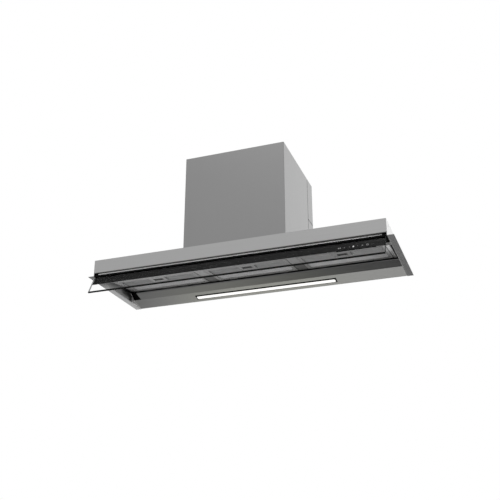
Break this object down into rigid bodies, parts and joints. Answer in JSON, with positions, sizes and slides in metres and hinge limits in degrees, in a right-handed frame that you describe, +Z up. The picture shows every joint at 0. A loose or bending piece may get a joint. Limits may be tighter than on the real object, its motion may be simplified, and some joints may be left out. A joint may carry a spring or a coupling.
{
  "type": "built-in range hood",
  "caption": "Built-in canopy range hood with a tall motor housing, side flanges, a folding glass visor, drop-down grease filters and a long light.",
  "frame": {"origin": "centre of the four fixing holes, on the top face of the canopy", "axes": "+X to the right seen from the front, +Y to the wall, +Z up"},
  "size_m": [0.898, 0.3366, 0.4459],
  "materials": {
    "satin_steel": "satin brushed",
    "housing_steel": "satin, plain",
    "dark_steel": "satin, dark",
    "zinc_sheet": "zinc coated sheet",
    "bright_steel": "bright",
    "aluminium": "satin anodised",
    "filter_frame": "satin anodised",
    "filter_mesh": "expanded sheet",
    "black_plastic": "matt black",
    "black_rubber": "matt black",
    "black_print": "fired black layer",
    "clear_glass": "clear, polished edges",
    "opal": "opal diffuser",
    "board": "white board",
    "pale_plastic": "moulded",
    "motor_metal": "painted"
  },
  "bodies": {
    "canopy": {"top_plate": "zinc_sheet", "left_end_panel": "satin_steel", "right_end_panel": "satin_steel", "back_panel": "zinc_sheet", "front_fascia": "satin_steel", "front_pan": "black_plastic", "filter_front_rail": "satin_steel", "light_panel": "satin_steel", "left_divider": "dark_steel", "right_divider": "dark_steel", "left_end_deflector": "satin_steel", "right_end_deflector": "satin_steel", "left_hinge_bracket": "black_plastic", "right_hinge_bracket": "black_plastic", "panel_rivets": "bright_steel", "led_channel": "aluminium", "led_board": "board", "light_bezel": "black_plastic", "led_diffuser": "opal", "led_driver": "pale_plastic", "housing_front_wrap": "housing_steel", "housing_rear_cover": "housing_steel", "housing_service_cover": "housing_steel", "housing_top_plate": "zinc_sheet", "housing_screws": "bright_steel", "scroll_wrap": "zinc_sheet", "left_scroll_cheek": "zinc_sheet", "right_scroll_cheek": "zinc_sheet", "motor_body": "motor_metal", "motor_bracket": "zinc_sheet", "motor_bushes": "black_rubber", "capacitor": "pale_plastic", "control_box": "pale_plastic", "control_box_lid": "pale_plastic", "terminal_block": "pale_plastic", "mains_gland": "black_plastic", "outlet_collar": "black_plastic", "flap_pin": "bright_steel"},
    "visor": {"visor_rail": "aluminium", "visor_carrier": "black_plastic", "visor_glass": "clear_glass", "visor_band": "black_print", "touch_module": "black_plastic", "visor_edge_trim": "black_rubber", "left_visor_cap": "black_plastic", "right_visor_cap": "black_plastic", "visor_pins": "bright_steel"},
    "fan": {"impeller": "black_plastic", "impeller_shaft": "bright_steel"},
    "front_flap": {"front_flap": "zinc_sheet"},
    "rear_flap": {"rear_flap": "zinc_sheet"},
    "left_filter": {"left_filter_frame": "filter_frame", "left_filter_mesh": "filter_mesh"},
    "left_latch": {"left_filter_latch": "black_plastic"},
    "centre_filter": {"centre_filter_frame": "filter_frame", "centre_filter_mesh": "filter_mesh"},
    "centre_latch": {"centre_filter_latch": "black_plastic"},
    "right_filter": {"right_filter_frame": "filter_frame", "right_filter_mesh": "filter_mesh"},
    "right_latch": {"right_filter_latch": "black_plastic"}
  },
  "joints": [
    {"name": "visor_tilt", "type": "hinge", "parent": "canopy", "child": "visor", "pos_m": [0, -0.1475, -0.0441], "axis": [1, 0, 0], "range_deg": [0, 117]},
    {"name": "fan_spin", "type": "hinge", "parent": "canopy", "child": "fan", "pos_m": [0, -0.0395, 0.14], "axis": [1, 0, 0], "continuous": true},
    {"name": "front_flap_swing", "type": "hinge", "parent": "canopy", "child": "front_flap", "pos_m": [0, 0.02985, 0.3145], "axis": [-1, 0, 0], "range_deg": [0, 80]},
    {"name": "rear_flap_swing", "type": "hinge", "parent": "canopy", "child": "rear_flap", "pos_m": [0, 0.02985, 0.3145], "axis": [1, 0, 0], "range_deg": [0, 80]},
    {"name": "left_filter_drop", "type": "hinge", "parent": "canopy", "child": "left_filter", "pos_m": [-0.28233, 0.0695, -0.0212], "axis": [1, 0, 0], "range_deg": [0, 60]},
    {"name": "left_latch_pull", "type": "slide", "parent": "left_filter", "child": "left_latch", "axis": [0, 0.993, 0.1177], "range_m": [0, 0.006], "stiffness_N_per_m": 250, "springref_m": -0.004},
    {"name": "centre_filter_drop", "type": "hinge", "parent": "canopy", "child": "centre_filter", "pos_m": [0, 0.0695, -0.0212], "axis": [1, 0, 0], "range_deg": [0, 60]},
    {"name": "centre_latch_pull", "type": "slide", "parent": "centre_filter", "child": "centre_latch", "axis": [0, 0.993, 0.1177], "range_m": [0, 0.006], "stiffness_N_per_m": 250, "springref_m": -0.004},
    {"name": "right_filter_drop", "type": "hinge", "parent": "canopy", "child": "right_filter", "pos_m": [0.28233, 0.0695, -0.0212], "axis": [1, 0, 0], "range_deg": [0, 60]},
    {"name": "right_latch_pull", "type": "slide", "parent": "right_filter", "child": "right_latch", "axis": [0, 0.993, 0.1177], "range_m": [0, 0.006], "stiffness_N_per_m": 250, "springref_m": -0.004}
  ]
}
